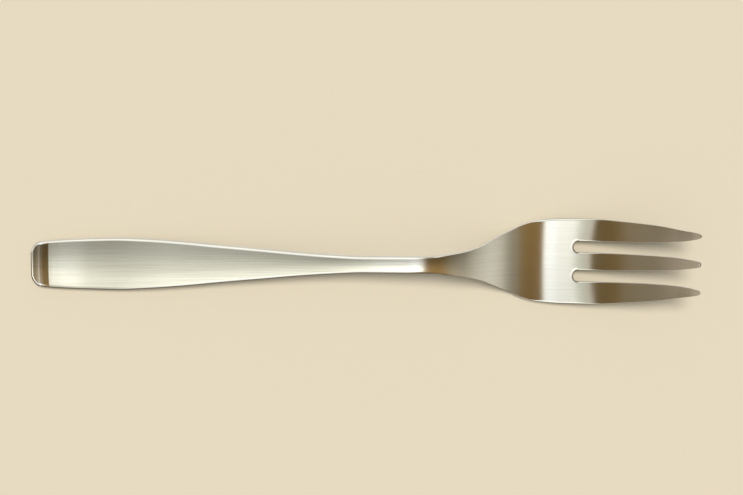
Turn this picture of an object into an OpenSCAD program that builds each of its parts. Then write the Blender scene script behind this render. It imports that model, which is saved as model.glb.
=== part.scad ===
// Pastry fork with three tines, pressed from one stainless blank.
// The blank is divided face to face at its named regions, from the turned-down end to the tines.
// +X runs towards the tine tips, +Z is up and z = 0 is the surface that the fork rests on.

/* [Lengths along the fork] */
// Turned-down end of the handle
end_length = 4.3; // [3:0.1:6]
// Handle from the crease at its end to the start of the neck
handle_length = 69.4; // [55:0.1:85]
// Neck, where the width stays the same
neck_length = 15.7; // [10:0.1:22]
// Shoulder, where the neck spreads into the head
shoulder_length = 21; // [17:0.1:27]
// Head from the shoulder to the centres of the slot roots
head_length = 13.5; // [10:0.1:18]
// Tines from the centres of the slot roots to the tips
tine_length = 26.1; // [20:0.1:34]

/* [Widths] */
// Width at the very end of the handle, before its corners are rounded
end_width = 9.4; // [7.5:0.1:10.4]
// Greatest width of the handle
handle_width = 11.62; // [9:0.02:14]
// Width of the neck
neck_width = 3.76; // [3:0.02:5]
// Greatest width of the head
head_width = 19.62; // [18:0.02:23]
// Rounded corner of the handle's end, measured along the fork
end_corner_length = 2; // [1:0.1:2.8]
// Rounded corner of the handle's end, measured across the fork
end_corner_width = 2.4; // [1:0.1:3]

/* [Thickness] */
// Thickness of the handle
handle_thickness = 2.2; // [1.6:0.05:3]
// Thickness of the neck, the stiffest stretch
neck_thickness = 2.6; // [1.8:0.05:3.4]
// Thickness of the head at the slot roots
head_thickness = 1.5; // [1.2:0.05:2.2]
// Thickness of the tines at their tips
tip_thickness = 1; // [0.7:0.05:1.4]
// Height of the handle's crown above its long edges
handle_crown = 0.3; // [0:0.05:0.6]

/* [Tines and slots] */
// Distance from the middle line to the centre of each slot
slot_offset = 3.35; // [3:0.05:4]
// Width of each slot at its round root
slot_width = 2.6; // [2:0.05:3.2]
// Distance from the middle line to the tip of each outer tine
outer_tip_offset = 6.35; // [5.6:0.05:7]
// Width of each blunt tip
tip_width = 0.8; // [0.5:0.05:1.2]

/* [Edges] */
// Rounding of the handle's upper edges
handle_edge = 0.75; // [0.3:0.05:0.9]
// Rounding of the upper edges of the head and tines
head_edge = 0.4; // [0.2:0.05:0.5]
// Rounding of all the lower edges
under_edge = 0.3; // [0.1:0.05:0.5]

/* [Side profile] */
// Height that the handle would gain over its length at its steepest slope, near the neck
handle_lift = 8.8; // [5:0.1:12]
// Drop of the handle's end below the line of the handle, in a straight slope
end_slope_drop = 0.28; // [0.1:0.01:0.6]
// Further drop of the handle's end, in a curve
end_curve_drop = 0.52; // [0:0.01:0.7]
// Depth of the flats that the fork rests on, below its belly and its end
rest_flat_depth = 0.03; // [0.02:0.01:0.05]
// Height that the shoulder would lose over its length at its steepest slope
shoulder_drop = 13.9; // [9:0.1:16]
// Height that the tines would gain over their length at the slope of their tips
tine_lift = 10.3; // [7:0.1:14]

/* [Hidden] */

end_start = 0;
handle_start = end_start + end_length;
neck_start = handle_start + handle_length;
shoulder_start = neck_start + neck_length;
head_start = shoulder_start + shoulder_length;
tine_start = head_start + head_length;
overall_length = tine_start + tine_length;

// Rings of the lofts along each stretch, and points round the edges and over the crown
end_rings = 14;
handle_rings = 40;
neck_rings = 12;
shoulder_rings = 22;
head_rings = 14;
tine_rings = 24;
tip_rings = 6;
edge_steps = 3;
crown_steps = 4;
profile_steps = 400;
root_fn = 48;

// Half width along each stretch: share of its length, and share of the spread from neck to full width
handle_width_shares = [
    [0, 0.865], [0.1, 0.955], [0.22, 1], [0.32, 0.935], [0.42, 0.811],
    [0.55, 0.595], [0.68, 0.394], [0.81, 0.19], [0.93, 0.053]
];
shoulder_width_shares = [
    [0, 0.006], [0.13, 0.035], [0.31, 0.101], [0.54, 0.25], [0.65, 0.374],
    [0.77, 0.518], [0.89, 0.651]
];
head_width_shares = [
    [0, 0.792], [0.17, 0.886], [0.34, 0.948], [0.52, 0.978], [0.7, 0.995], [1, 1]
];

// Taper of the tines: share of the length, and share left of the way from the root's edge to the tip
outer_edge_shares = [
    [0.18, 0.959], [0.34, 0.863], [0.5, 0.757], [0.67, 0.612], [0.82, 0.4], [0.97, 0.2]
];
inner_edge_shares = [
    [0.18, 0.965], [0.5, 0.965], [0.67, 0.9], [0.82, 0.746], [0.9, 0.58], [0.97, 0.33]
];
middle_edge_shares = [
    [0.18, 0.949], [0.34, 0.92], [0.5, 0.861], [0.67, 0.78], [0.82, 0.651], [0.9, 0.5], [0.97, 0.34]
];

// Slope of the upper face as rise over run: share of the stretch, and share of its steepest slope
handle_slope_shares = [
    [0, 0.06], [0.1, 0.2], [0.2, 0.4], [0.4, 0.48], [0.6, 0.66], [0.8, 0.88], [0.93, 0.99]
];
neck_slope_shares = [[0.05, 1], [0.5, 0.92], [0.66, 0.78], [0.8, 0.45], [1, 0.14]];
shoulder_slope_shares = [
    [0.05, 0], [0.17, 0.14], [0.24, 0.27], [0.34, 0.49], [0.44, 0.73], [0.54, 0.9],
    [0.65, 1], [0.77, 0.87], [0.82, 0.7], [0.89, 0.46], [0.94, 0.24]
];
head_slope_shares = [[0, -0.1], [0.05, -0.02], [0.16, 0.1], [0.34, 0.21], [0.67, 0.38]];
tine_slope_shares = [[0, 0.51], [0.09, 0.6], [0.21, 0.69], [0.34, 0.77], [0.66, 0.91], [1, 1]];

// Thickness and crown between their named values
shoulder_thickness_share = 0.55;
belly_thickness_share = 0.1;
end_thickness_share = 0.9;
neck_crown_share = 0.4;

// Power of the curve in which the handle's end droops
droop_power = 4;

// Share of a wall that its rounded edges may take, share of a tip's width that stays flat at its end,
// and share of a side's rounding and crown that gives way where an end face rounds the corner too
wall_share = 0.45;
end_face_share = 0.4;
corner_share = 0.8;

// Overrun of a cut past the faces of what it cuts
cut = 1;

// Tangent of a smooth curve at point i, which keeps level stretches level
function chord(p, i) = (p[i + 1][1] - p[i][1]) / (p[i + 1][0] - p[i][0]);
function tangent(p, i) =
    i == 0 ? chord(p, 0)
    : i == len(p) - 1 ? chord(p, i - 1)
    : let (a = chord(p, i - 1), b = chord(p, i)) a * b <= 0 ? 0 : 2 * a * b / (a + b);

// Place of x among the points, searched by halves
function segment(p, x, low, high) =
    high - low <= 1 ? low
    : let (mid = floor((low + high) / 2))
    p[mid][0] <= x ? segment(p, x, mid, high) : segment(p, x, low, mid);

// Value at x of the smooth curve through points p
function curve(p, x) =
    let (
        last = len(p) - 1,
        i = segment(p, x, 0, last),
        run = p[i + 1][0] - p[i][0],
        u = max(0, min(1, (x - p[i][0]) / run))
    )
    p[i][1] * (1 + 2 * u) * (1 - u) ^ 2
    + tangent(p, i) * run * u * (1 - u) ^ 2
    + p[i + 1][1] * u ^ 2 * (3 - 2 * u)
    + tangent(p, i + 1) * run * u ^ 2 * (u - 1);

// Value at a share of the way from low to high
function part_way(low, high, share) = low + share * (high - low);

// Points of one stretch: start, length, and values from low to high by share
function stretch(shares, start, length, low, high) =
    [for (p = shares) [start + p[0] * length, part_way(low, high, p[1])]];

outline = concat(
    [[end_start, end_width / 2]],
    stretch(handle_width_shares, handle_start, handle_length, neck_width / 2, handle_width / 2),
    [[neck_start, neck_width / 2]],
    stretch(shoulder_width_shares, shoulder_start, shoulder_length, neck_width / 2, head_width / 2),
    stretch(head_width_shares, head_start, head_length, neck_width / 2, head_width / 2),
    stretch(outer_edge_shares, tine_start, tine_length, outer_tip_offset, head_width / 2),
    [[overall_length, outer_tip_offset + tip_width / 2]]
);

// What the rounded corners take off the half width near the end of the handle
function corner_cut(s) =
    s >= end_corner_length ? 0
    : end_corner_width * (1 - sqrt(1 - (1 - s / end_corner_length) ^ 2));
function half_width(s) = curve(outline, s) - corner_cut(s);

inner_line = concat(
    [[tine_start, slot_offset + slot_width / 2]],
    stretch(inner_edge_shares, tine_start, tine_length, outer_tip_offset, slot_offset + slot_width / 2),
    [[overall_length, outer_tip_offset - tip_width / 2]]
);
middle_line = concat(
    [[tine_start, slot_offset - slot_width / 2]],
    stretch(middle_edge_shares, tine_start, tine_length, 0, slot_offset - slot_width / 2),
    [[overall_length, tip_width / 2]]
);

slopes = concat(
    stretch(handle_slope_shares, handle_start, handle_length, 0, handle_lift / handle_length),
    stretch(neck_slope_shares, neck_start, neck_length, 0, handle_lift / handle_length),
    stretch(shoulder_slope_shares, shoulder_start, shoulder_length, 0, -shoulder_drop / shoulder_length),
    stretch(head_slope_shares, head_start, head_length, 0, tine_lift / tine_length),
    stretch(tine_slope_shares, tine_start, tine_length, 0, tine_lift / tine_length)
);

// Slope of the upper face, with the droop of the handle's end
function droop(s) =
    (end_slope_drop + droop_power * end_curve_drop * (1 - s / end_length) ^ (droop_power - 1)) / end_length;
function slope(s) = curve(slopes, max(s, handle_start)) + (s < handle_start ? droop(s) : 0);

step = overall_length / profile_steps;
raw_heights = [
    for (i = 0, z = 0; i <= profile_steps; z = z + step * slope((i + 0.5) * step), i = i + 1) [i * step, z]
];

thicknesses = [
    [end_start, handle_thickness * end_thickness_share],
    [handle_start, handle_thickness],
    [handle_start + handle_length / 2, handle_thickness],
    [neck_start, neck_thickness],
    [shoulder_start, neck_thickness],
    [
        shoulder_start + shoulder_length / 2,
        part_way(head_thickness, neck_thickness, shoulder_thickness_share)
    ],
    [head_start, part_way(head_thickness, neck_thickness, belly_thickness_share)],
    [tine_start, head_thickness],
    [overall_length, tip_thickness]
];
function thickness(s) = curve(thicknesses, s);

// The end and the belly touch the same level: the raw profile is tilted until their lowest points agree
function raw_under(s) = lookup(s, raw_heights) - thickness(s);
end_rest = under_edge + end_corner_length / 2;
belly_places = [for (p = raw_heights) if (p[0] > shoulder_start && p[0] < tine_start) p[0]];
belly_heights = [for (s = belly_places) raw_under(s)];
belly_rest = belly_places[search(min(belly_heights), belly_heights)[0]];
tilt = (raw_under(belly_rest) - raw_under(end_rest)) / (belly_rest - end_rest);
function top(s) =
    lookup(s, raw_heights) - raw_under(end_rest) - tilt * (s - end_rest) - rest_flat_depth;
function bottom(s) = max(0, top(s) - thickness(s));

crowns = [
    [end_start, handle_crown],
    [neck_start, handle_crown * neck_crown_share],
    [shoulder_start, handle_crown * neck_crown_share],
    [head_start, 0],
    [overall_length, 0]
];
function crown(s) = curve(crowns, s);

edges = [
    [end_start, handle_edge],
    [shoulder_start, handle_edge],
    [head_start, head_edge],
    [overall_length, head_edge]
];
function wall(s) = (top(s) - bottom(s)) * wall_share;
function edge(s) = min(curve(edges, s), wall(s));

// How far a rounded edge of radius r has fallen at depth d in from the end face, and the share of a
// side's rounding and of the crown that is left there
function fallen(r, d) = d >= r ? 0 : r - sqrt(r ^ 2 - (r - d) ^ 2);
function side_left(r, d) = 1 - corner_share * fallen(r, d) / r;

// One cross-section: low and high are its sides, rl and rh their upper rounding, and inset its depth in
// from an end face
function ring(s, low, high, rl, rh, inset) =
    let (
        under = min(under_edge, wall(s), (high - low) * wall_share),
        left = side_left(edge(s), inset),
        ru = under * side_left(under, inset),
        a = min(rl, (high - low) * wall_share) * left,
        b = min(rh, (high - low) * wall_share) * left,
        rise = crown(s) * left,
        side = top(s) - fallen(edge(s), inset) - rise,
        floor_z = bottom(s) + fallen(under, inset),
        middle = (low + high) / 2,
        half = (high - low) / 2,
        turns = [for (k = [0:edge_steps]) 90 * k / edge_steps]
    )
    [
        for (p = concat(
            [for (t = turns) [high - b + b * sin(t), side - b + b * cos(t)]],
            [for (t = turns) [high - ru + ru * cos(t), floor_z + ru - ru * sin(t)]],
            [for (t = turns) [low + ru - ru * sin(t), floor_z + ru - ru * cos(t)]],
            [for (t = turns) [low + a - a * cos(t), side - a + a * sin(t)]],
            [
                for (k = [1:crown_steps - 1])
                let (y = low + a + (high - b - low - a) * k / crown_steps)
                [y, side + rise * (1 - ((y - middle) / half) ^ 2)]
            ]
        ))
        [s - overall_length / 2, p[0], p[1]]
    ];

// Closed solid through rings that all have the same number of points, each end a fan from one lower corner
module loft(rings) {
    n = len(rings[0]);
    last = (len(rings) - 1) * n;
    corner = 2 * edge_steps + 1;
    fan = [for (k = [1:n - 2]) [corner, (corner + k) % n, (corner + k + 1) % n]];
    polyhedron(
        points = [for (r = rings) each r],
        faces = concat(
            [for (f = fan) [f[0], f[2], f[1]]],
            [for (f = fan) [last + f[0], last + f[1], last + f[2]]],
            [
                for (i = [0:n:last - n], k = [0:n - 1])
                each [
                    [i + k, i + (k + 1) % n, i + n + k],
                    [i + n + k, i + (k + 1) % n, i + n + (k + 1) % n]
                ]
            ]
        ),
        convexity = 6
    );
}

// Evenly spaced places from start to end
function places(start, end, count) = [for (i = [0:count]) start + (end - start) * i / count];

// A stretch of the fork across its whole width
module span(where) {
    loft([for (s = where) ring(s, -half_width(s), half_width(s), edge(s), edge(s), s)]);
}

// Places along a tine, closer together where its tip is rounded
tip_start = overall_length - tip_width;
tine_places = concat(
    places(tine_start, tip_start, tine_rings),
    [for (k = [1:tip_rings]) tip_start + tip_width * sin(90 * k / tip_rings)]
);

// What the round of a tip takes off each side
function tip_cut(s) =
    s <= tip_start ? 0
    : tip_width / 2 * (1 - sqrt(max(0, 1 - ((s - tip_start) / tip_width) ^ 2))) * (1 - end_face_share);

// Outer tine on the side given by 1 or -1
module outer_tine(side) {
    loft([
        for (s = tine_places)
        let (
            near = curve(inner_line, s) + tip_cut(s),
            far = half_width(s) - tip_cut(s),
            low = side > 0 ? near : -far,
            high = side > 0 ? far : -near
        )
        ring(s, low, high, edge(s), edge(s), overall_length - s)
    ]);
}

module handle_end() {
    corner_places = [
        for (k = [0:end_rings / 2]) end_corner_length * (1 - cos(90 * k / (end_rings / 2)))
    ];
    after_corner = places(end_corner_length, handle_start, end_rings / 2);
    color([0.62, 0.56, 0.46])
    span(concat(corner_places, [for (i = [1:len(after_corner) - 1]) after_corner[i]]));
}

module handle() {
    color([0.82, 0.8, 0.73])
    span(places(handle_start, neck_start, handle_rings));
}

module neck() {
    color([0.76, 0.73, 0.65])
    span(places(neck_start, shoulder_start, neck_rings));
}

module shoulder() {
    color([0.7, 0.67, 0.6])
    span(places(shoulder_start, head_start, shoulder_rings));
}

// Rounded edge of a slot's root with radius r on a face at the given height, turned over for the lower face
module root_edge(side, height, r, turn) {
    translate([tine_start - overall_length / 2, side * slot_offset, height])
    rotate([turn, -atan(slope(tine_start) - tilt), 0])
    rotate_extrude($fn = root_fn)
    difference() {
        translate([0, -r]) square([slot_width / 2 + r, r + cut]);
        translate([slot_width / 2 + r, -r]) circle(r = r, $fn = root_fn);
    }
}

module head() {
    color([0.8, 0.78, 0.71])
    difference() {
        span(places(head_start, tine_start, head_rings));
        for (side = [-1, 1]) {
            translate([tine_start - overall_length / 2, side * slot_offset, -cut])
            cylinder(r = slot_width / 2, h = top(tine_start) + 2 * cut, $fn = root_fn);
            root_edge(side, top(tine_start), edge(tine_start), 0);
            root_edge(side, bottom(tine_start), under_edge, 180);
        }
    }
}

module tine_left() {
    color([0.58, 0.52, 0.42])
    outer_tine(1);
}

module tine_middle() {
    color([0.58, 0.52, 0.42])
    loft([
        for (s = tine_places)
        let (half = curve(middle_line, s) - tip_cut(s))
        ring(s, -half, half, edge(s), edge(s), overall_length - s)
    ]);
}

module tine_right() {
    color([0.58, 0.52, 0.42])
    outer_tine(-1);
}

handle_end();
handle();
neck();
shoulder();
head();
tine_left();
tine_middle();
tine_right();
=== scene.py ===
"""A pastry fork in brushed stainless steel, lying on a pale floor and seen from above."""

import logging
import math
from dataclasses import dataclass, field, replace
from enum import Enum

import bpy
import numpy as np
from mathutils import Matrix, Vector
from mathutils.geometry import delaunay_2d_cdt


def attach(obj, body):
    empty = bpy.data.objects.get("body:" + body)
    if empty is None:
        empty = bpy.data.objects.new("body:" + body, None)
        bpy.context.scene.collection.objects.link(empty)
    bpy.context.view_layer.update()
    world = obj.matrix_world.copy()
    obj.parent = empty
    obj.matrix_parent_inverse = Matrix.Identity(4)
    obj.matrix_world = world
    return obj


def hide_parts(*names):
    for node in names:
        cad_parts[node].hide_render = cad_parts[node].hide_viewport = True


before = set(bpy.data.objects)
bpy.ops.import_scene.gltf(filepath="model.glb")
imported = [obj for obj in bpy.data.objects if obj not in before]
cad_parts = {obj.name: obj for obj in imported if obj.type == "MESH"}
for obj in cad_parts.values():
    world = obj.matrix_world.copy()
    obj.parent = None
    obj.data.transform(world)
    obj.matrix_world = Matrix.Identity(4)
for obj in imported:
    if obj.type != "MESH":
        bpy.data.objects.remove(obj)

log = logging.getLogger("pastry_fork")

MM = 0.001
PHOTO_WIDTH = 743
SENSOR_WIDTH = 36.0
HALF_TURN = 180.0
QUARTER_TURN = 90.0

Stops = list[tuple[float, tuple]]


class Face(Enum):
    """The two broad faces of the blank."""

    UPPER = 1
    LOWER = -1


def linear(colour: tuple[float, ...]) -> tuple[float, ...]:
    """Turns a colour with parts from 0 to 255, as a screen shows it, into linear light."""
    shares = [part / 255 for part in colour]
    return tuple(s / 12.92 if s <= 0.04045 else ((s + 0.055) / 1.055) ** 2.4 for s in shares)


def part_round(radius: float, depth: np.ndarray | float) -> np.ndarray:
    """Finds how far a rounded edge has fallen at a depth in from the face beside it."""
    inside = np.clip(radius - np.asarray(depth, float), 0, radius)
    return radius - np.sqrt(radius**2 - inside**2)


def unit(ways: np.ndarray) -> np.ndarray:
    """Brings each direction in a list to a length of 1."""
    return ways / np.linalg.norm(ways, axis=1, keepdims=True)


def linked(name: str, data: bpy.types.ID) -> bpy.types.Object:
    """Makes an object and links it into the scene.

    Args:
        name: Name of the object.
        data: Its mesh, light or camera.

    Returns:
        The object.
    """
    made = bpy.data.objects.new(name, data)
    bpy.context.scene.collection.objects.link(made)
    return made


class Spline:
    """A smooth curve through points with rising places."""

    def __init__(self, places: np.ndarray, values: np.ndarray) -> None:
        """Works out the curve's bend at each point.

        Args:
            places: Rising positions.
            values: The value at each position.
        """
        self.places = np.asarray(places, float)
        self.values = np.asarray(values, float)
        count = len(self.places)
        step = np.diff(self.places)
        chord = np.diff(self.values) / step
        system = np.zeros((count, count))
        right = np.zeros(count)
        for i in range(1, count - 1):
            system[i, i - 1 : i + 2] = step[i - 1], 2 * (step[i - 1] + step[i]), step[i]
            right[i] = 6 * (chord[i] - chord[i - 1])
        system[0, :3] = step[1], -(step[0] + step[1]), step[0]
        system[-1, -3:] = step[-1], -(step[-1] + step[-2]), step[-2]
        self.bends = np.linalg.solve(system, right)

    def _part(self, place: np.ndarray | float) -> tuple[np.ndarray, ...]:
        """Finds the stretch that a place is in.

        Args:
            place: Places along the curve.

        Returns:
            Index of the stretch, and the distances to its two ends.
        """
        place = np.asarray(place, float)
        i = np.clip(np.searchsorted(self.places, place) - 1, 0, len(self.places) - 2)
        return i, place - self.places[i], self.places[i + 1] - place

    def at(self, place: np.ndarray | float) -> np.ndarray:
        """Gives the value of the curve.

        Args:
            place: Places along the curve.

        Returns:
            The values there.
        """
        i, a, b = self._part(place)
        step = a + b
        m, n = self.bends[i], self.bends[i + 1]
        low, high = self.values[i] / step - m * step / 6, self.values[i + 1] / step - n * step / 6
        return (m * b**3 + n * a**3) / (6 * step) + low * b + high * a

    def slope(self, place: np.ndarray | float) -> np.ndarray:
        """Gives the slope of the curve.

        Args:
            place: Places along the curve.

        Returns:
            The slopes there.
        """
        i, a, b = self._part(place)
        step = a + b
        m, n = self.bends[i], self.bends[i + 1]
        chord = (self.values[i + 1] - self.values[i]) / step
        return (n * a**2 - m * b**2) / (2 * step) + chord - (n - m) * step / 6


class Rings:
    """Cross-sections of a solid, read from its mesh, without those of its rounded ends."""

    # Least reach of a section that counts, as a share of the narrower end's
    full_share = 0.9
    digits = 4

    def __init__(self, node: str) -> None:
        """Gathers the reach and the height of each cross-section.

        Args:
            node: Name of the solid.
        """
        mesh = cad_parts[node].data
        points = np.zeros(len(mesh.vertices) * 3)
        mesh.vertices.foreach_get("co", points)
        points = points.reshape(-1, 3) / MM
        keys = np.round(points[:, 0], self.digits)
        places = np.unique(keys)
        cuts = [points[keys == place] for place in places]
        reach = np.array([np.abs(cut[:, 1]).max() for cut in cuts])
        full = reach >= self.full_share * min(reach[0], reach[-1])
        self.place = places[full]
        self.left = np.array([cut[:, 1].max() for cut in cuts])[full]
        self.right = np.array([cut[:, 1].min() for cut in cuts])[full]
        self.low = np.array([cut[:, 2].min() for cut in cuts])[full]
        self.high = np.array([cut[:, 2].max() for cut in cuts])[full]


@dataclass
class Edging:
    """Sizes of the rounded edges and corners, in millimetres, and shares of other sizes."""

    handle: float = 0.75
    neck: float = 0.4
    shoulder: float = 0.06
    head: float = 0.4
    tine: float = 0.06
    tip: float = 0.2
    neck_blend: float = 4.0
    shoulder_blend: float = 5.0
    belly_offset: float = 2.5
    belly_blend: float = 2.5
    root_blend: float = 5.0
    under: float = 0.3
    wall_share: float = 0.45
    corner_length: float = 2.0
    corner_width: float = 2.4
    tip_length: float = 0.8
    tip_width: float = 0.8
    root_radius: float = 1.3
    tip_share: float = 0.85
    tip_taper: float = 0.75
    least_depth: float = 0.08
    crown_blend: float = 0.5


class Form:
    """The blank's plan and its upper and lower faces, as smooth curves along the fork."""

    # The solids along the middle, each of which ends at a cut
    regions = ("handle_end", "handle", "neck", "shoulder", "head")
    joint_digits = 3
    slack = 0.01
    # Height of the crown by distance from the handle's end; below 0 it is a dish
    crown_heights = {
        0: 0.3, 4.3: 0.3, 73.7: 0.12, 89.4: 0.12, 95: 0.09, 104: 0.0,
        112: -0.145, 122: -0.153, 128: -0.083, 135: -0.093, 145: -0.03, 148: 0.0,
    }
    # Degrees that low waves add to the slope of the upper face, by the same distance
    wave_angles = {
        4.3: 1.2, 4.7: 0.3, 5.5: 0.35, 7: 0.0, 10: 0.0, 12.8: 0.3, 17: 0.0, 30: 0.0, 34: 0.15,
        40: 0.15, 46: 0.05, 66: 0.0, 71.4: -0.25, 76.8: -0.5, 80: -0.2, 82.1: 0.0, 84.3: -0.4,
        85.2: -0.2, 86.1: 0.0, 87: 0.2, 90: 0.2, 92: 0.0, 112.8: 0.0, 113.7: -0.1, 114.6: -0.28,
        115.6: -0.3, 117: 0.0, 121.9: 0.0, 123.7: 0.2, 126: 0.05, 127.2: 0.15, 129: 0.0,
    }
    wave_step = 0.05

    def __init__(self, edging: Edging) -> None:
        """Reads the solids and fits the curves.

        Args:
            edging: Sizes of the rounded edges.
        """
        self.edging = edging
        end, *body = (Rings(node) for node in self.regions)
        middle = Rings("tine_middle")
        outer = Rings("tine_left")
        self.start = float(end.place[0])
        self.cuts = {node: float(ring.place[-1]) for node, ring in zip(self.regions, (end, *body))}
        self.finish = float(middle.place[-1])
        self.end_top = Spline(
            end.place, end.high + part_round(edging.handle, end.place - self.start)
        )
        self.end_under = Spline(end.place, end.low)
        along = body + [middle]
        highs = [ring.high + self._tip_fall(ring.place) for ring in along]
        lows = [ring.low - part_round(edging.under, self.finish - ring.place) for ring in along]
        self.body_top = self._joined([ring.place for ring in along], highs)
        self.body_under = self._joined([ring.place for ring in along], lows)
        corner = self._corner(end.place)
        self.half = self._joined(
            [end.place] + [ring.place for ring in body] + [self._held(outer, outer.place)],
            [end.left + corner] + [ring.left for ring in body] + [self._held(outer, outer.left)],
        )
        self.inner = Spline(self._held(outer, outer.place), self._held(outer, outer.right))
        self.middle = Spline(self._held(middle, middle.place), self._held(middle, middle.left))
        heights = list(self.crown_heights.values())
        self.crowning = (self.start + np.array(list(self.crown_heights)), heights)
        first, step = self.cuts["handle_end"], self.wave_step
        self.wave_places = np.arange(first, self.finish + step, step)
        slopes = np.tan(np.radians(list(self.wave_angles.values())))
        along = self.wave_places - self.start
        self.wave_slopes = np.interp(along, list(self.wave_angles), slopes)
        steps = (self.wave_slopes[1:] + self.wave_slopes[:-1]) / 2 * np.diff(self.wave_places)
        self.wave_heights = np.concatenate([-np.cumsum(steps[::-1])[::-1], [0.0]])

    def _joined(self, places: list[np.ndarray], values: list[np.ndarray]) -> Spline:
        """Fits one curve through stretches that share their end points.

        Args:
            places: Places along the fork, for each stretch.
            values: The value at each place.

        Returns:
            The curve.
        """
        rounded = np.round(np.concatenate(places), self.joint_digits)
        every, keep = np.unique(rounded, return_index=True)
        return Spline(every, np.concatenate(values)[keep])

    def _tip_fall(self, place: np.ndarray) -> np.ndarray:
        """Gives the drop of the upper face where the tips are rounded."""
        return part_round(self.edging.head, self.finish - np.asarray(place))

    def _corner(self, place: np.ndarray) -> np.ndarray:
        """Gives what the rounded corners take off the half width at the handle's end."""
        share = np.clip(1 - (np.asarray(place) - self.start) / self.edging.corner_length, 0, 1)
        return self.edging.corner_width * (1 - np.sqrt(1 - share**2))

    def _held(self, ring: Rings, values: np.ndarray) -> np.ndarray:
        """Gives a tine's values up to where its tip is rounded."""
        return values[ring.place < self.finish - self.edging.tip_length + self.slack]

    def crown(self, place: np.ndarray) -> tuple[np.ndarray, np.ndarray]:
        """Gives the crown along the fork.

        Args:
            place: Places along the fork.

        Returns:
            Its height, below 0 for a dish, and how fast that changes.
        """
        places, heights = self.crowning
        reach = self.edging.crown_blend
        low, high = (np.interp(np.asarray(place) + k * reach, places, heights) for k in (-1, 1))
        return (low + high) / 2, (high - low) / (2 * reach)

    def upper(self, x: np.ndarray, y: np.ndarray, at_end: bool) -> tuple[np.ndarray, ...]:
        """Gives the height and the slopes of the upper face, without its edges.

        Args:
            x: Places along the fork.
            y: Places across it.
            at_end: Whether the turned-down end is meant, up to its crease.

        Returns:
            Height, slope along and slope across.
        """
        curve = self.end_top if at_end else self.body_top
        depth = np.maximum(self.finish - x, self.edging.least_depth)
        inside = np.clip(self.edging.head - depth, 0, None)
        steep = -inside / np.sqrt(self.edging.head**2 - inside**2)
        bow, bow_along, bow_across = self._bow(x, y, dish_only=False)
        height = curve.at(x) + bow - self._tip_fall(x)
        along = curve.slope(x) + bow_along + steep
        height = height + np.interp(x, self.wave_places, self.wave_heights)
        if not at_end:
            along = along + np.interp(x, self.wave_places, self.wave_slopes)
        return height, along, bow_across

    def _bow(self, x: np.ndarray, y: np.ndarray, dish_only: bool) -> tuple[np.ndarray, ...]:
        """Gives what the crown or the dish adds to a face's height and slopes.

        Args:
            x: Places along the fork.
            y: Places across it.
            dish_only: Whether the crown is left out.

        Returns:
            Height, slope along and slope across.
        """
        crown, change = self.crown(x)
        if dish_only:
            held = crown < 0
            crown, change = crown * held, change * held
        half, spread = self.half.at(x), self.half.slope(x)
        share = y / half
        along = -change * share**2 + 2 * crown * share**2 * spread / half
        return -crown * share**2, along, -2 * crown * share / half

    def lower(self, x: np.ndarray, y: np.ndarray, at_end: bool) -> tuple[np.ndarray, ...]:
        """Gives the height and the slopes of the lower face, without its edges.

        Args:
            x: Places along the fork.
            y: Places across it.
            at_end: Whether the turned-down end is meant, up to its crease.

        Returns:
            Height, slope along and slope across.
        """
        curve = self.end_under if at_end else self.body_under
        bow, bow_along, bow_across = self._bow(x, y, dish_only=True)
        height = curve.at(x) + bow
        above = height > 0
        return height * above, (curve.slope(x) + bow_along) * above, bow_across * above


@dataclass
class Rim:
    """Points of the blank's outline with all that its rounded edges need, in millimetres."""

    points: np.ndarray
    outward: np.ndarray
    round_upper: np.ndarray
    round_lower: np.ndarray
    is_cut: np.ndarray


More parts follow.
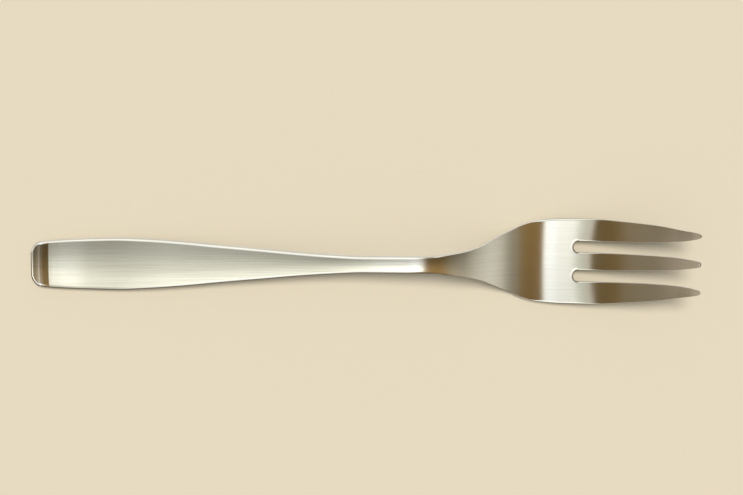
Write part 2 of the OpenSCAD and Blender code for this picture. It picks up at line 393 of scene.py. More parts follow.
class Outline:
    """The blank's outline seen from above, from the handle's end clockwise round the tines."""

    root_steps = 18

    def __init__(self, form: Form, spacing: float = 0.5, tip_steps: int = 9) -> None:
        """Places the points of the outline.

        Args:
            form: Curves of the blank.
            spacing: Distance between points.
            tip_steps: Points on each quarter of a rounded corner.
        """
        self.form = form
        self.spacing = spacing
        self.turn = np.radians(np.linspace(0, 90, tip_steps + 1))
        half, marks = self._half_outline()
        points = np.concatenate([half, half[-2:0:-1] * [1, -1]])
        self.marks = marks
        self.total = len(points)
        cuts = np.zeros(len(points), bool)
        for mark in marks.values():
            cuts[[mark, self.twin(mark)]] = True
        self.rim = Rim(points, self._normals(points), *self._rounds(points), cuts)

    def twin(self, index: int) -> int:
        """Gives the index of the mirrored point on the other side of the middle line."""
        return (self.total - index) % self.total

    def _run(self, low: float, high: float) -> np.ndarray:
        """Spreads places evenly from low to high, without the last."""
        count = max(2, round(abs(high - low) / self.spacing))
        return np.linspace(low, high, count, endpoint=False)

    def _half_outline(self) -> tuple[np.ndarray, dict[str, int]]:
        """Lists the points on the side of positive Y.

        Returns:
            The points, and the index of each one where a cut crosses them.
        """
        form, sizes = self.form, self.form.edging
        parts: list[np.ndarray] = []
        marks: dict[str, int] = {}

        def add(x: np.ndarray, y: np.ndarray) -> None:
            """Appends points to the outline."""
            parts.append(np.column_stack(np.broadcast_arrays(x, y)).astype(float))

        def mark(name: str) -> None:
            """Notes the index of the next point."""
            marks[name] = sum(len(part) for part in parts)

        flat = float(form.half.at(form.start)) - sizes.corner_width
        add(form.start, self._run(0, flat))
        x = form.start + sizes.corner_length * (1 - np.cos(self.turn[:-1]))
        add(x, form.half.at(x) - sizes.corner_width * (1 - np.sin(self.turn[:-1])))
        start = form.start + sizes.corner_length
        for node, stop in form.cuts.items():
            x = self._run(start, stop)
            add(x, form.half.at(x))
            mark(node)
            start = stop
        tip = form.finish - sizes.tip_length
        x = self._run(start, tip)
        add(x, form.half.at(x))
        turn = np.concatenate([self.turn, np.pi - self.turn[-2::-1]])
        x = tip + sizes.tip_length * np.sin(turn)
        far, near = form.half.at(x), form.inner.at(x)
        add(x, (far + near) / 2 + (far - near) / 2 * np.cos(turn))
        x = self._run(tip, start)[1:]
        add(x, form.inner.at(x))
        mark("inner")
        around = np.radians(np.linspace(90, 270, self.root_steps + 1))[:-1]
        centre = float(form.inner.at(start) + form.middle.at(start)) / 2
        radius = float(form.inner.at(start) - form.middle.at(start)) / 2
        add(start + radius * np.cos(around), centre + radius * np.sin(around))
        mark("middle")
        x = self._run(start, tip)
        add(x, form.middle.at(x))
        x = tip + sizes.tip_length * np.sin(self.turn)
        add(x, form.middle.at(tip) * np.cos(self.turn))
        return np.concatenate(parts), marks

    @staticmethod
    def _normals(points: np.ndarray) -> np.ndarray:
        """Works out the outward direction at each point of a closed outline.

        Args:
            points: Points of the outline.

        Returns:
            One direction of unit length for each point.
        """
        before = points - np.roll(points, 1, axis=0)
        after = np.roll(points, -1, axis=0) - points
        a = np.linalg.norm(before, axis=1, keepdims=True)
        b = np.linalg.norm(after, axis=1, keepdims=True)
        along = unit(before * b / a + after * a / b)
        return np.column_stack([-along[:, 1], along[:, 0]])

    def _rounds(self, points: np.ndarray) -> tuple[np.ndarray, np.ndarray]:
        """Works out the radius of the rounded edges at each point.

        Args:
            points: Points of the outline.

        Returns:
            Radii of the upper and of the lower edge.
        """
        form, sizes = self.form, self.form.edging
        x = points[:, 0]
        neck, roots = form.cuts["neck"], form.cuts["head"]
        belly = form.cuts["shoulder"] + sizes.belly_offset
        radii = {
            neck - sizes.neck_blend: sizes.handle,
            neck: sizes.neck,
            neck + sizes.shoulder_blend: sizes.shoulder,
            belly: sizes.shoulder,
            belly + sizes.belly_blend: sizes.head,
            roots: sizes.head,
            roots + sizes.root_blend: sizes.tine,
            form.finish - sizes.tip_length: sizes.tine,
            form.finish - sizes.tip_length / 2: sizes.tip,
        }
        upper = np.interp(x, list(radii), list(radii.values()))
        at_end = x < form.cuts["handle_end"]
        top = np.where(at_end, form.end_top.at(x), form.body_top.at(x))
        under = np.where(at_end, form.end_under.at(x), form.body_under.at(x))
        crown, _ = form.crown(x)
        wall = (top - crown - np.maximum(under, 0)) * sizes.wall_share
        width = np.full(len(points), np.inf)
        tines = x > roots
        middle = 2 * form.middle.at(x)
        outer = form.half.at(x) - form.inner.at(x)
        inside = np.abs(points[:, 1]) < form.inner.at(x) - sizes.root_radius
        width[tines] = np.where(inside, middle, outer)[tines]
        turned = np.clip((x - form.finish + sizes.tip_length) / sizes.tip_length, 0, 1)
        reach = sizes.tip_width / 2 * np.sqrt(1 - sizes.tip_taper * turned**2) * sizes.tip_share
        reach = np.where(turned > 0, reach, np.inf)
        limit = np.minimum(np.minimum(wall, width * sizes.wall_share), reach)
        return np.minimum(upper, limit), np.minimum(sizes.under, limit)

    def run(self, first: int, last: int) -> np.ndarray:
        """Lists the indices from one point to another, past the end of the list if need be.

        Args:
            first: Index of the first point.
            last: Index of the last point.

        Returns:
            The indices in order.
        """
        if last < first:
            last += self.total
        return np.arange(first, last + 1) % self.total

    def both(self, first: str, last: str) -> list[np.ndarray]:
        """Lists the indices from one mark to another, and those of the mirrored stretch."""
        a, b = self.marks[first], self.marks[last]
        return [self.run(a, b), self.run(self.twin(b), self.twin(a))]


@dataclass
class Skin:
    """Points and faces of one closed piece as they are gathered."""

    points: list = field(default_factory=list)
    normals: list = field(default_factory=list)
    faces: list = field(default_factory=list)
    corners: list = field(default_factory=list)
    flat: dict = field(default_factory=dict)

    def add_points(self, points: np.ndarray, normals: np.ndarray) -> np.ndarray:
        """Adds points with their normals.

        Args:
            points: Places in millimetres.
            normals: Directions of the surface there.

        Returns:
            The indices of the points.
        """
        first = len(self.points)
        self.points.extend(points.tolist())
        self.normals.extend(normals.tolist())
        return np.arange(first, len(self.points))

    def add_face(self, face: list[int], corners: list[tuple[float, float]]) -> None:
        """Adds a face with the place of each of its corners in the brushing's own plane."""
        self.faces.append([int(i) for i in face])
        self.corners.append(corners)

    def add_cap(self, face: list[int], side: float) -> None:
        """Closes the piece with a level face that looks along X.

        Args:
            face: Indices round the face.
            side: 1 to look along X, or -1 to look against it.
        """
        ring = np.array([self.points[i] for i in face])
        area = np.sum(ring[:, 1] * np.roll(ring[:, 2], -1) - np.roll(ring[:, 1], -1) * ring[:, 2])
        if area * side < 0:
            face = face[::-1]
        self.flat[len(self.faces)] = (side, 0.0, 0.0)
        self.add_face(face, [(self.points[i][2], self.points[i][1]) for i in face])


class Section:
    """One named region of the blank, built as a closed piece between its cuts."""

    upper_steps = 6
    lower_steps = 4
    # Spacing on the broad faces, and the share of it that is kept clear beside the edges
    grid = 0.6
    grid_margin = 0.4
    nearest = 1e-7
    least_across = 0.2
    # Least turn outward of the upper edge at the slot roots, and what counts as such a root
    lip = 0.07
    root_reach = 1.5
    root_facing = 0.2
    brushing_scale = 0.01

    def __init__(self, outline: Outline, node: str, runs: list[np.ndarray]) -> None:
        """Keeps what the region is built from.

        Args:
            outline: Outline of the whole blank.
            node: Name of the region's solid.
            runs: Stretches of the outline, joined by straight cuts.
        """
        self.outline = outline
        self.form = outline.form
        self.node = node
        self.runs = runs
        self.at_end = node == "handle_end"
        self.skin = Skin()

    def _surface(self, plan: np.ndarray, face: Face) -> tuple[np.ndarray, ...]:
        """Gives the height and the slopes of a broad face at points of the plan."""
        surface = self.form.upper if face is Face.UPPER else self.form.lower
        return surface(plan[:, 0], plan[:, 1], self.at_end)

    def _level(self, index: np.ndarray, face: Face, turn: float) -> tuple[np.ndarray, ...]:
        """Places one row of points on a rounded edge.

        Args:
            index: Points of the outline.
            face: The face that the edge belongs to.
            turn: 0 on the side wall and a quarter turn on the face.

        Returns:
            Places and normals of the row.
        """
        rim = self.outline.rim
        radius = (rim.round_upper if face is Face.UPPER else rim.round_lower)[index]
        outward = rim.outward[index]
        inward = -outward * (radius * (1 - math.cos(turn)))[:, None]
        cut = rim.is_cut[index]
        across = np.sign(outward[:, 1]) / np.maximum(np.abs(outward[:, 1]), self.least_across)
        shift = -across * radius * (1 - math.cos(turn))
        inward[cut] = np.column_stack([np.zeros(cut.sum()), shift[cut]])
        plan = rim.points[index] + inward
        height, along, over = self._surface(plan, face)
        height = height - face.value * radius * (1 - math.sin(turn))
        slopes = np.column_stack([along, over]) * -face.value
        lip = self.lip * self._at_root(rim.points[index], outward)
        turned = np.maximum(math.cos(turn), lip) if face is Face.UPPER else math.cos(turn)
        flat = slopes * math.sin(turn) + outward * np.reshape(turned, (-1, 1))
        up = np.full(len(index), face.value * math.sin(turn))
        return np.column_stack([plan, height]), unit(np.column_stack([flat, up]))

    def _at_root(self, plan: np.ndarray, outward: np.ndarray) -> np.ndarray:
        """Tells which points of the outline lie on the rounded root of a slot."""
        near = np.abs(plan[:, 0] - self.form.cuts["head"]) < self.root_reach
        return near & (outward[:, 0] > self.root_facing)

    def _face_points(self, plan: np.ndarray, face: Face) -> np.ndarray:
        """Places points of the plan on a broad face and adds them to the piece.

        Args:
            plan: Points of the plan.
            face: The face that they are placed on.

        Returns:
            The indices of the points.
        """
        height, along, over = self._surface(plan, face)
        normals = np.column_stack([-along, -over, np.ones(len(plan))]) * face.value
        return self.skin.add_points(np.column_stack([plan, height]), unit(normals))

    def _walls(self) -> list[np.ndarray]:
        """Builds the rounded edges and side walls of each stretch.

        Returns:
            For each stretch, the indices of its points by row.
        """
        built = []
        for run in self.runs:
            rows = []
            for step in range(self.upper_steps + 1):
                turn = math.pi / 2 * (1 - step / self.upper_steps)
                rows.append(self.skin.add_points(*self._level(run, Face.UPPER, turn)))
            for step in range(self.lower_steps + 1):
                turn = math.pi / 2 * step / self.lower_steps
                rows.append(self.skin.add_points(*self._level(run, Face.LOWER, turn)))
            rows = np.array(rows)
            plan = self.outline.rim.points[run]
            length = np.concatenate([[0], np.cumsum(np.linalg.norm(np.diff(plan, axis=0), axis=1))])
            for row in range(len(rows) - 1):
                for i in range(len(run) - 1):
                    face = [rows[row, i], rows[row, i + 1], rows[row + 1, i + 1], rows[row + 1, i]]
                    if row == self.upper_steps:
                        spots = zip(face, (i, i + 1, i + 1, i))
                        corners = [(self.skin.points[k][2], length[spot]) for k, spot in spots]
                    else:
                        corners = [tuple(self.skin.points[k][1::-1]) for k in face]
                    self.skin.add_face(face, corners)
            built.append(rows)
        return built

    def _cut_points(self, a: np.ndarray, b: np.ndarray) -> np.ndarray:
        """Spreads points along a cut between two points of the plan, without its ends.

        Args:
            a: The first point.
            b: The last point.

        Returns:
            The points in order.
        """
        low, high = sorted((a[1], b[1]))
        count = max(2, math.ceil((high - low) / self.grid))
        y = np.linspace(low, high, count + 1)[1:-1]
        if a[1] > b[1]:
            y = y[::-1]
        return np.column_stack([np.full(len(y), a[0]), y])

    def _inside(self, ring: np.ndarray) -> np.ndarray:
        """Spreads points over the inside of a closed ring, clear of its edge.

        Args:
            ring: Points of the ring.

        Returns:
            Points on a grid of triangles.
        """
        low, high = ring.min(axis=0), ring.max(axis=0)
        rise = self.grid * math.sqrt(3) / 2
        columns = np.arange(low[0] + rise / 2, high[0], rise)
        spots = []
        for number, x in enumerate(columns):
            shift = self.grid / 2 * (number % 2)
            count = int((high[1] - low[1]) / self.grid / 2) + 1
            centre = (high[1] + low[1]) / 2
            spots.extend((x, centre + shift + k * self.grid) for k in range(-count, count + 1))
        spots = np.array(spots)
        ends = np.roll(ring, -1, axis=0)
        inside = np.zeros(len(spots), bool)
        near = np.full(len(spots), np.inf)
        for a, b in zip(ring, ends):
            if a[1] != b[1]:
                crosses = (a[1] > spots[:, 1]) != (b[1] > spots[:, 1])
                meet = a[0] + (spots[:, 1] - a[1]) * (b[0] - a[0]) / (b[1] - a[1])
                inside ^= crosses & (spots[:, 0] < meet)
            for point in (a, (a + b) / 2):
                near = np.minimum(near, np.hypot(*(spots - point).T))
        return spots[inside & (near > self.grid * self.grid_margin)]

    def _fill(self, rows: list[np.ndarray], face: Face) -> list[list[int]]:
        """Builds a broad face between the rounded edges and the cuts.

        Args:
            rows: Indices of the edges' points by row, for each stretch.
            face: The face to build.

        Returns:
            For each cut, the indices of its points from one stretch to the next.
        """
        row = 0 if face is Face.UPPER else -1
        ring: list[int] = []
        cuts = []
        for number, run in enumerate(rows):
            ring.extend(run[row].tolist())
            after = rows[(number + 1) % len(rows)]
            a = np.array(self.skin.points[run[row][-1]][:2])
            b = np.array(self.skin.points[after[row][0]][:2])
            line = self._face_points(self._cut_points(a, b), face).tolist()
            cuts.append(line)
            ring.extend(line)
        edge = np.array([self.skin.points[i][:2] for i in ring])
        plan = np.concatenate([edge, self._inside(edge)])
        inner = self._face_points(plan[len(edge) :], face).tolist()
        names = ring + inner
        sides = [(i, (i + 1) % len(ring)) for i in range(len(ring))]
        made = delaunay_2d_cdt([Vector(p) for p in plan], sides, [], 1, self.nearest)
        if len(made[0]) != len(plan):
            raise ValueError(f"{self.node}: the {face.name.lower()} face crosses itself")
        for triangle in made[2]:
            spots = [made[3][i][0] for i in triangle]
            a, b, c = (plan[i] for i in spots)
            turn = (b[0] - a[0]) * (c[1] - a[1]) - (b[1] - a[1]) * (c[0] - a[0])
            if turn * face.value < 0:
                spots = spots[::-1]
            self.skin.add_face([names[i] for i in spots], [(plan[i][1], plan[i][0]) for i in spots])
        return cuts

    def build(self) -> bpy.types.Object:
        """Builds the region.

        Returns:
            The finished piece, without its material.
        """
        rows = self._walls()
        upper = self._fill(rows, Face.UPPER)
        lower = self._fill(rows, Face.LOWER)
        middle = np.mean([self.skin.points[i][0] for run in rows for i in run[0]])
        for number, run in enumerate(rows):
            after = rows[(number + 1) % len(rows)]
            ring = upper[number] + after[:, 0].tolist() + lower[number][::-1]
            ring += run[::-1, -1].tolist()
            side = 1.0 if self.skin.points[run[0][-1]][0] > middle else -1.0
            self.skin.add_cap(ring, side)
        return self._object()

    def _object(self) -> bpy.types.Object:
        """Turns the gathered points and faces into an object with its own normals.

        Returns:
            The object, linked into the scene.
        """
        skin = self.skin
        mesh = bpy.data.meshes.new(f"{self.node}_skin")
        mesh.from_pydata([tuple(c * MM for c in p) for p in skin.points], [], skin.faces)
        layer = mesh.uv_layers.new(name="brushing")
        normals = []
        corner = 0
        for number, face in enumerate(skin.faces):
            for i, spot in zip(face, skin.corners[number]):
                layer.data[corner].uv = [self.brushing_scale * part for part in spot]
                normals.append(skin.flat.get(number, skin.normals[i]))
                corner += 1
        mesh.polygons.foreach_set("use_smooth", [True] * len(mesh.polygons))
        mesh.normals_split_custom_set(normals)
        mesh.update()
        return linked(f"{self.node}_steel", mesh)


class Nodes:
    """Short ways to add shader nodes to one tree."""

    # Numbers of a Mix node's sockets for the share and the two colours, and for its result
    blend_inputs = (0, 6, 7)
    blend_output = 2

    def __init__(self, tree: bpy.types.NodeTree) -> None:
        """Keeps the node tree of a material, world or group."""
        self.tree = tree

    def feed(self, node: bpy.types.Node, inputs: dict) -> None:
        """Gives inputs of a node constants, or links them to outputs.

        Args:
            node: The node.
            inputs: Constant or output for each input, by its name or number.
        """
        for key, source in inputs.items():
            if isinstance(source, bpy.types.NodeSocket):
                self.tree.links.new(source, node.inputs[key])
            else:
                node.inputs[key].default_value = source

    def add(self, kind: str, inputs: dict | None = None, **settings: object) -> bpy.types.Node:
        """Adds a node, sets its properties and feeds its inputs.

        Args:
            kind: Type of the node.
            inputs: Constant or output for each input, by its name or number.
            **settings: Properties of the node by name.

        Returns:
            The new node.
        """
        node = self.tree.nodes.new(kind)
        for name, value in settings.items():
            setattr(node, name, value)
        self.feed(node, inputs or {})
        return node

    def maths(self, operation: str, *inputs: object) -> bpy.types.NodeSocket:
        """Works out a number from constants or outputs."""
        return self.add("ShaderNodeMath", dict(enumerate(inputs)), operation=operation).outputs[0]

    def blend(self, mode: str, share: object, a: object, b: object) -> bpy.types.NodeSocket:
        """Blends two colours.

        Args:
            mode: Way of blending.
            share: Share of the second colour.
            a: First colour.
            b: Second colour.

        Returns:
            The blended colour.
        """
        inputs = dict(zip(self.blend_inputs, (share, a, b)))
        node = self.add("ShaderNodeMix", inputs, data_type="RGBA", blend_type=mode)
        return node.outputs[self.blend_output]

    def ramp(self, value: object, stops: Stops) -> bpy.types.NodeSocket:
        """Turns a value into a colour by a row of stops.

        Args:
            value: The value from 0 to 1.
            stops: Place and linear colour of each stop.

        Returns:
            The colour.
        """
        node = self.add("ShaderNodeValToRGB", {0: value})
        elements = node.color_ramp.elements
        for number, (place, colour) in enumerate(stops):
            element = elements[number] if number < len(elements) else elements.new(place)
            element.position = place
            element.color = (*colour, 1)
        return node.outputs[0]

    def span(self, value: object, source: tuple, target: tuple) -> bpy.types.NodeSocket:
        """Maps a value from one range to another, held at the ends."""
        inputs = dict(enumerate((value, *source, *target)))
        return self.add("ShaderNodeMapRange", inputs).outputs[0]

    def share(self, value: object, start: float, end: float) -> bpy.types.NodeSocket:
        """Maps a value to 0 at the start of a range and 1 at its end."""
        return self.span(value, (start, end), (0.0, 1.0))

    def noise(self, place: object, scale: float, **further: float) -> bpy.types.NodeSocket:
        """Gives a noise of some scale at a place, with further inputs by name."""
        inputs = {"Vector": place, "Scale": scale, **further}
        return self.add("ShaderNodeTexNoise", inputs, noise_dimensions="3D").outputs[0]


class Effects:
    """Shader node groups that the finishes share."""

    fine_share = 0.65
    coarse_scale = 0.27
    speck_scale = 22.0
    line_range = (0.36, 0.64)
    scratch_range = (0.64, 0.74)
    haze_range = (0.4, 0.66)
    speck_range = (0.7, 0.78)

    def __init__(self) -> None:
        """Builds each group once."""
        self.brushing = self._brushing()
        self.handling = self._handling()

    @staticmethod
    def _group(
        name: str, takes: dict[str, float], gives: list[str]
    ) -> tuple[Nodes, bpy.types.Node, bpy.types.Node]:
        """Starts a group with named inputs and outputs.

        Args:
            name: Name of the group.
            takes: Inputs with their default values.
            gives: Names of the outputs.

        Returns:
            The tree's helper, the input node and the output node.
        """
        tree = bpy.data.node_groups.new(name, "ShaderNodeTree")
        for title, value in takes.items():
            socket = tree.interface.new_socket(title, in_out="INPUT", socket_type="NodeSocketFloat")
            socket.default_value = value
        for title in gives:
            tree.interface.new_socket(title, in_out="OUTPUT", socket_type="NodeSocketFloat")
        nodes = Nodes(tree)
        return nodes, nodes.add("NodeGroupInput"), nodes.add("NodeGroupOutput")

    def _brushing(self) -> bpy.types.NodeTree:
        """Builds long fine lines along the fork, some of them deeper than the rest.

        Returns:
            The group.
        """
        takes = {"Lines per Metre": 2600.0, "Stretch": 0.03, "Seed": 0.0}
        nodes, given, made = self._group("brushing", takes, ["Lines", "Scratches", "Height"])
        place = nodes.add("ShaderNodeTexCoord").outputs["Object"]
        parts = nodes.add("ShaderNodeSeparateXYZ", {0: place}).outputs
        across = given.outputs["Lines per Metre"]
        along = nodes.maths("MULTIPLY", across, given.outputs["Stretch"])
        x = nodes.maths("MULTIPLY_ADD", parts[0], along, given.outputs["Seed"])
        y = nodes.maths("MULTIPLY", parts[1], across)
        z = nodes.maths("MULTIPLY", parts[2], along)
        scaled = nodes.add("ShaderNodeCombineXYZ", {0: x, 1: y, 2: z}).outputs[0]
        fine = nodes.noise(scaled, 1.0, Detail=4.0, Roughness=0.62)
        coarse = nodes.noise(scaled, self.coarse_scale, Detail=2.0)
        rest = nodes.maths("MULTIPLY", coarse, 1 - self.fine_share)
        both = nodes.maths("MULTIPLY_ADD", fine, self.fine_share, rest)
        lines = nodes.share(both, *self.line_range)
        scratches = nodes.share(fine, *self.scratch_range)
        nodes.feed(made, {"Lines": lines, "Scratches": scratches, "Height": both})
        return nodes.tree

    def _handling(self) -> bpy.types.NodeTree:
        """Builds the faint cloudy marks that hands and cloths leave.

        Returns:
            The group.
        """
        takes = {"Patches per Metre": 90.0, "Seed": 0.0}
        nodes, given, made = self._group("handling_marks", takes, ["Haze", "Spots"])
        place = nodes.add("ShaderNodeTexCoord").outputs["Object"]
        inputs = {0: place, 1: given.outputs["Patches per Metre"], 2: given.outputs["Seed"]}
        moved = nodes.add("ShaderNodeVectorMath", inputs, operation="MULTIPLY_ADD").outputs[0]
        cloud = nodes.noise(moved, 1.0, Detail=5.0, Roughness=0.55)
        specks = nodes.noise(moved, self.speck_scale)
        haze, spots = nodes.share(cloud, *self.haze_range), nodes.share(specks, *self.speck_range)
        nodes.feed(made, {"Haze": haze, "Spots": spots})
        return nodes.tree


@dataclass(frozen=True)
class SatinSteel:
    """Stainless steel with a fine brushed finish."""

    name: str
    bright: tuple = (0.88, 0.868, 0.83)
    dull: tuple = (0.745, 0.732, 0.688)
    roughness: float = 0.108
    anisotropy: float = 0.9
    lines: float = 6500.0
    stretch: float = 0.012
    seed: float = 0.0
    line_depth: float = 0.4e-6
    marks_offset: float = 3.0
    haze: float = 0.25
    scratch: float = 0.35
    scratch_colour: tuple = (0.95, 0.94, 0.91)
    swing: float = 0.12
    haze_roughness: float = 0.03
    spot_roughness: float = 0.05

    def make(self, effects: Effects) -> bpy.types.Material:
        """Builds the material.

        Args:
            effects: Node groups that the finishes share.

        Returns:
            The material.
        """
        material = bpy.data.materials.new(self.name)
        material.use_nodes = True
        nodes = Nodes(material.node_tree)
        shader = material.node_tree.nodes["Principled BSDF"]
        lines = {"Lines per Metre": self.lines, "Stretch": self.stretch, "Seed": self.seed}
        brushing = nodes.add("ShaderNodeGroup", lines, node_tree=effects.brushing).outputs
        seed = {"Seed": self.seed + self.marks_offset}
        marks = nodes.add("ShaderNodeGroup", seed, node_tree=effects.handling).outputs
        shade = nodes.blend("MIX", brushing["Lines"], (*self.dull, 1), (*self.bright, 1))
        hazed = nodes.maths("MULTIPLY", marks["Haze"], self.haze)
        shade = nodes.blend("MIX", hazed, shade, (*self.dull, 1))
        scratched = nodes.maths("MULTIPLY", brushing["Scratches"], self.scratch)
        shade = nodes.blend("MIX", scratched, shade, (*self.scratch_colour, 1))
        low, high = (self.roughness * (1 + k * self.swing) for k in (-1, 1))
        matt = nodes.span(brushing["Lines"], (0.0, 1.0), (high, low))
        matt = nodes.maths("MULTIPLY_ADD", marks["Haze"], self.haze_roughness, matt)
        matt = nodes.maths("MULTIPLY_ADD", marks["Spots"], self.spot_roughness, matt)
        relief = {"Strength": 1.0, "Distance": self.line_depth, "Height": brushing["Height"]}
        bump = nodes.add("ShaderNodeBump", relief)
        tangent = nodes.add("ShaderNodeTangent", direction_type="UV_MAP", uv_map="brushing")
        steel = {"Base Color": shade, "Roughness": matt, "Metallic": 1.0}
        steel |= {"Anisotropic": self.anisotropy, "Normal": bump.outputs[0]}
        nodes.feed(shader, steel | {"Tangent": tangent.outputs[0]})
        return material


@dataclass
class Handle:
    """The handle with its turned-down end and its neck."""

    finish: SatinSteel = SatinSteel("handle_satin", seed=1.0)

    def build(self, outline: Outline) -> list[Section]:
        """Lists the handle's regions.

        Args:
            outline: Outline of the blank.

        Returns:
            The regions from the end to the neck.
        """
        end = outline.marks["handle_end"]
        return [
            Section(outline, "handle_end", [outline.run(outline.twin(end), end)]),
            Section(outline, "handle", outline.both("handle_end", "handle")),
            Section(outline, "neck", outline.both("handle", "neck")),
        ]


@dataclass
class Head:
    """The spreading shoulder and the head up to the tines."""

    finish: SatinSteel = SatinSteel(
        "head_satin",
        bright=(0.85, 0.838, 0.80),
        dull=(0.775, 0.762, 0.718),
        lines=7500.0,
        seed=2.0,
    )

    def build(self, outline: Outline) -> list[Section]:
        """Lists the head's regions.

        Args:
            outline: Outline of the blank.

        Returns:
            The regions from the shoulder to the slot roots.
        """
        left, right = outline.both("shoulder", "head")
        slots = outline.both("inner", "middle")
        return [
            Section(outline, "shoulder", outline.both("neck", "shoulder")),
            Section(outline, "head", [left, *slots, right]),
        ]


@dataclass
class Tines:
    """The three tapering tines."""

    finish: SatinSteel = replace(Head.finish, name="tine_satin", seed=3.0)

    def build(self, outline: Outline) -> list[Section]:
        """Lists the tines.

        Args:
            outline: Outline of the blank.

        Returns:
            The tines from left to right, seen along the fork.
        """
        middle = outline.marks["middle"]
        left, right = outline.both("head", "inner")
        return [
            Section(outline, "tine_left", [left]),
            Section(outline, "tine_middle", [outline.run(middle, outline.twin(middle))]),
            Section(outline, "tine_right", [right]),
        ]


@dataclass
class Studio:
    """Floor, lights, surroundings and camera."""

    floor_colour: tuple = (214, 204, 182)
    backdrop: tuple = (230, 218, 192)
    floor_size: float = 6.0
    key_way: tuple = (0.0, 0.3, 0.954)
    key_spread: float = 22.0
    key_power: float = 2.47
    fill: float = 0.44
    eye: tuple = (-29.2128, 39.1971, 338.7549)
    aim: tuple = (1.3272, 3.1616, 0.0)
    roll: float = 0.225
    far_light: tuple = (204, 199, 183)
    focal_pixels: float = 1500.0
    clip: tuple = (0.01, 20.0)
    key_colour: tuple = (1.0, 0.975, 0.93)
    floor_roughness: float = 0.9
    floor_gloss: float = 0.1

    # Degrees of lean towards the handle's end, or of turn towards positive Y, over which the lights
    # of the surroundings give way to each other, and the rise over which the low lights take over
    end_leans = (-6.4, -4.8)
    low_leans = (-11.5, -9.5)
    far_leans = (-25, -50)
    far_turns = (28, 45)
    rim_turns = (20, 40)
    flank_turns = (38, 68)
    low_rises = (0.05, -0.2)

    # What the steel shows of the light overhead, by degrees of lean from straight up
    sky = [
        (-90, (208, 203, 188)), (-80, (203, 198, 181)), (-68, (181, 175, 156)),
        (-55, (158, 152, 131)), (-44, (142, 134, 115)), (-34, (136, 126, 106)),
        (-22, (130, 119, 95)), (-15, (124, 108, 77)), (-10, (121, 98, 62)), (-6, (117, 93, 54)),
        (-3.2, (119, 93, 55)), (-2.4, (130, 110, 78)), (-1.4, (226, 220, 200)),
        (-0.6, (249, 248, 237)), (2, (250, 251, 242)), (4.2, (239, 236, 223)),
        (7, (237, 235, 220)), (8.3, (217, 215, 197)), (9, (202, 200, 182)),
        (10.4, (186, 184, 166)), (12.7, (189, 180, 162)), (13.4, (108, 94, 66)),
        (14.2, (93, 76, 44)), (18.7, (105, 84, 49)), (19.5, (119, 103, 76)),
        (20.6, (123, 111, 88)), (23.4, (118, 104, 83)), (24.1, (148, 135, 116)),
        (25, (172, 161, 138)), (29, (134, 122, 99)), (46, (108, 95, 68)), (66, (246, 242, 226)),
    ]
    # Share of that light all round, by degrees of turn: low towards negative Y for light from the
    # head and for light from the handle's end, and everywhere else for both
    head_sides = {-180: 0.15, -112: 0.12, -90: 0.25, -50: 0.5, -30: 1.0}
    end_sides = {-180: 0.3, -112: 0.6, -90: 0.75, -70: 1.05, -50: 1.18, -34: 1.35}
    both_sides = {
        -22: 1.4, -16: 1.66, -13: 1.66, -11: 1.46, -9.5: 1.22, -8.3: 1.04, -5: 0.96, -3.5: 0.84,
        -2: 0.72, -0.5: 0.62, 1: 0.56, 12: 0.54, 20: 0.62, 34: 0.8, 50: 1.1, 90: 1.2, 130: 1.25,
        180: 0.9,
    }
    # What the steel shows of the light low towards positive Y, by degrees of lean
    flank = [
        (-30, (130, 119, 95)), (-12, (123, 98, 62)), (-5, (150, 130, 100)),
        (-3, (254, 252, 240)), (13, (262, 260, 249)), (60, (240, 240, 236)),
    ]
    # What the steel shows of the light below the level of the fork, by degrees of turn, in the same
    # three parts as the shares
    head_low = [
        (-180, (84, 74, 58)), (-90, (96, 86, 68)), (-60, (120, 112, 94)),
        (165, (160, 153, 134)), (180, (150, 142, 122)),
    ]
    end_low = [
        (-180, (84, 74, 58)), (-125, (96, 86, 68)), (-90, (130, 121, 102)),
        (-60, (150, 142, 124)), (158, (186, 179, 161)), (168, (210, 204, 188)),
        (180, (210, 204, 188)),
    ]
    both_low = [(0, (170, 163, 145)), (90, (222, 217, 202)), (125, (206, 200, 183))]
    # Gain of the light on the rounded edges of the handle's end, by degrees of lean
    end_rim = [
        (12.5, (1.0, 1.0, 1.0)), (14.5, (2.2, 2.5, 3.3)), (19.5, (2.4, 2.7, 3.6)),
        (22.5, (3.0, 3.6, 5.0)), (29, (3.4, 4.1, 6.4)), (46, (4.6, 5.8, 10.5)),
        (52, (2.2, 2.4, 2.8)), (62, (1.1, 1.1, 1.1)),
    ]

    def floor(self) -> None:
        """Lays the plain floor."""
        half = self.floor_size / 2
        mesh = bpy.data.meshes.new("floor")
        corners = [(-half, -half, 0), (half, -half, 0), (half, half, 0), (-half, half, 0)]
        mesh.from_pydata(corners, [], [(0, 1, 2, 3)])
        material = bpy.data.materials.new("floor_paint")
        material.use_nodes = True
        shader = material.node_tree.nodes["Principled BSDF"]
        paint = {"Base Color": (*linear(self.floor_colour), 1), "Roughness": self.floor_roughness}
        paint["Specular IOR Level"] = self.floor_gloss
        Nodes(material.node_tree).feed(shader, paint)
        mesh.materials.append(material)
        floor = linked("floor", mesh)
        floor.visible_glossy = False

    def key(self) -> None:
        """Sets the soft light that throws the shadow towards negative Y."""
        data = bpy.data.lights.new("key", "SUN")
        data.angle = math.radians(self.key_spread)
        data.energy = self.key_power
        data.color = self.key_colour
        lamp = linked("key", data)
        lamp.rotation_mode = "QUATERNION"
        lamp.rotation_quaternion = (-Vector(self.key_way)).to_track_quat("-Z", "Y")
        lamp.visible_glossy = False

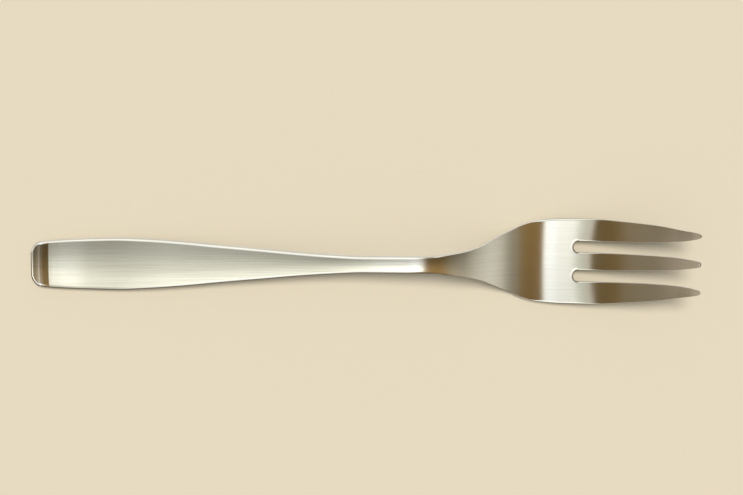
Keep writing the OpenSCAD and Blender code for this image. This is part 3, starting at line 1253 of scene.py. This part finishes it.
    def surroundings(self) -> None:
        """Sets the light that comes from all round, and what the steel mirrors."""
        world = bpy.data.worlds.new("studio")
        bpy.context.scene.world = world
        world.use_nodes = True
        nodes = Nodes(world.node_tree)
        back = world.node_tree.nodes["Background"]
        way = nodes.add("ShaderNodeTexCoord").outputs["Generated"]
        x, y, z = nodes.add("ShaderNodeSeparateXYZ", {0: way}).outputs
        turn = math.degrees(1)
        lean = nodes.maths("MULTIPLY", nodes.maths("ARCSINE", x), -turn)
        side = nodes.maths("MULTIPLY", nodes.maths("ARCSINE", y), turn)
        behind = nodes.maths("MULTIPLY", nodes.maths("SIGN", y), HALF_TURN)
        folded = nodes.maths("SUBTRACT", behind, side)
        below = nodes.maths("LESS_THAN", z, 0.0)
        fold = nodes.maths("MULTIPLY", below, nodes.maths("SUBTRACT", folded, side))
        around = nodes.maths("ADD", side, fold)
        away = nodes.maths("ABSOLUTE", side)
        whole = [(a + b) / 2 for a, b in zip(SatinSteel.bright, SatinSteel.dull)]

        def over(value: object, row: Stops, reach: float) -> bpy.types.NodeSocket:
            """Gives the colour at an angle, from stops that reach so many degrees each way."""
            made = sorted(((angle / reach + 1) / 2, colour) for angle, colour in row)
            return nodes.ramp(nodes.share(value, -reach, reach), made)

        def lit(row: Stops) -> Stops:
            """Turns colours that the steel shows into the light that it mirrors."""
            return [(at, tuple(c / s for c, s in zip(linear(tone), whole))) for at, tone in row]

        def grey(row: dict[float, float]) -> Stops:
            """Turns shares into stops."""
            return [(at, (share,) * 3) for at, share in row.items()]

        rows = [self.head_sides | self.both_sides, self.end_sides | self.both_sides]
        rows = [over(around, grey(row), HALF_TURN) for row in rows]
        sides = nodes.blend("MIX", nodes.share(lean, *self.end_leans), *rows)
        seen = nodes.blend("MULTIPLY", 1.0, over(lean, lit(self.sky), QUARTER_TURN), sides)
        rim = nodes.blend("MULTIPLY", 1.0, seen, over(lean, self.end_rim, QUARTER_TURN))
        seen = nodes.blend("MIX", nodes.share(away, *self.rim_turns), seen, rim)
        flank = over(lean, lit(self.flank), QUARTER_TURN)
        seen = nodes.blend("MIX", nodes.share(around, *self.flank_turns), seen, flank)
        pale = lit([(0, self.far_light)])[0][1] + (1,)
        ends = [nodes.share(lean, *self.far_leans), nodes.share(away, *self.far_turns)]
        seen = nodes.blend("MIX", nodes.maths("MULTIPLY", *ends), seen, pale)
        rows = [self.head_low + self.both_low, self.end_low + self.both_low]
        rows = [over(around, lit(row), HALF_TURN) for row in rows]
        low = nodes.blend("MIX", nodes.share(lean, *self.low_leans), *rows)
        seen = nodes.blend("MIX", nodes.share(z, *self.low_rises), seen, low)
        rays = nodes.add("ShaderNodeLightPath").outputs
        plain = (*linear(self.backdrop), 1)
        soft = nodes.blend("MIX", rays["Is Camera Ray"], (self.fill,) * 3 + (1,), plain)
        nodes.feed(back, {"Color": nodes.blend("MIX", rays["Is Glossy Ray"], soft, seen)})

    def camera(self) -> None:
        """Sets the camera at the photograph's place and angle."""
        data = bpy.data.cameras.new("camera")
        data.sensor_width = SENSOR_WIDTH
        data.lens = self.focal_pixels * SENSOR_WIDTH / PHOTO_WIDTH
        data.clip_start, data.clip_end = self.clip
        camera = linked("camera", data)
        eye, aim = Vector(self.eye) * MM, Vector(self.aim) * MM
        ahead = (aim - eye).normalized()
        level = ahead.cross(Vector((0, 1, 0))).normalized()
        tilt = math.radians(self.roll)
        right = level * math.cos(tilt) + level.cross(ahead) * math.sin(tilt)
        above = right.cross(ahead)
        turned = Matrix((right, above, -ahead)).transposed().to_4x4()
        camera.matrix_world = Matrix.Translation(eye) @ turned
        bpy.context.scene.camera = camera

    def build(self) -> None:
        """Sets the whole studio."""
        self.camera()
        self.floor()
        self.key()
        self.surroundings()
        bpy.context.scene.view_settings.view_transform = "Standard"


def main() -> None:
    """Builds and dresses the fork and its studio, and reports each piece."""
    logging.basicConfig(level=logging.INFO, format="%(message)s")
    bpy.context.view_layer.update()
    Studio().build()
    outline = Outline(Form(Edging()))
    effects = Effects()
    for part in (Handle(), Head(), Tines()):
        finish = part.finish.make(effects)
        for section in part.build(outline):
            piece = section.build()
            piece.data.materials.append(finish)
            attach(piece, "root")
            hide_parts(section.node)
            log.info("%s: %d faces in %s", piece.name, len(piece.data.polygons), finish.name)


if __name__ == "__main__":
    main()
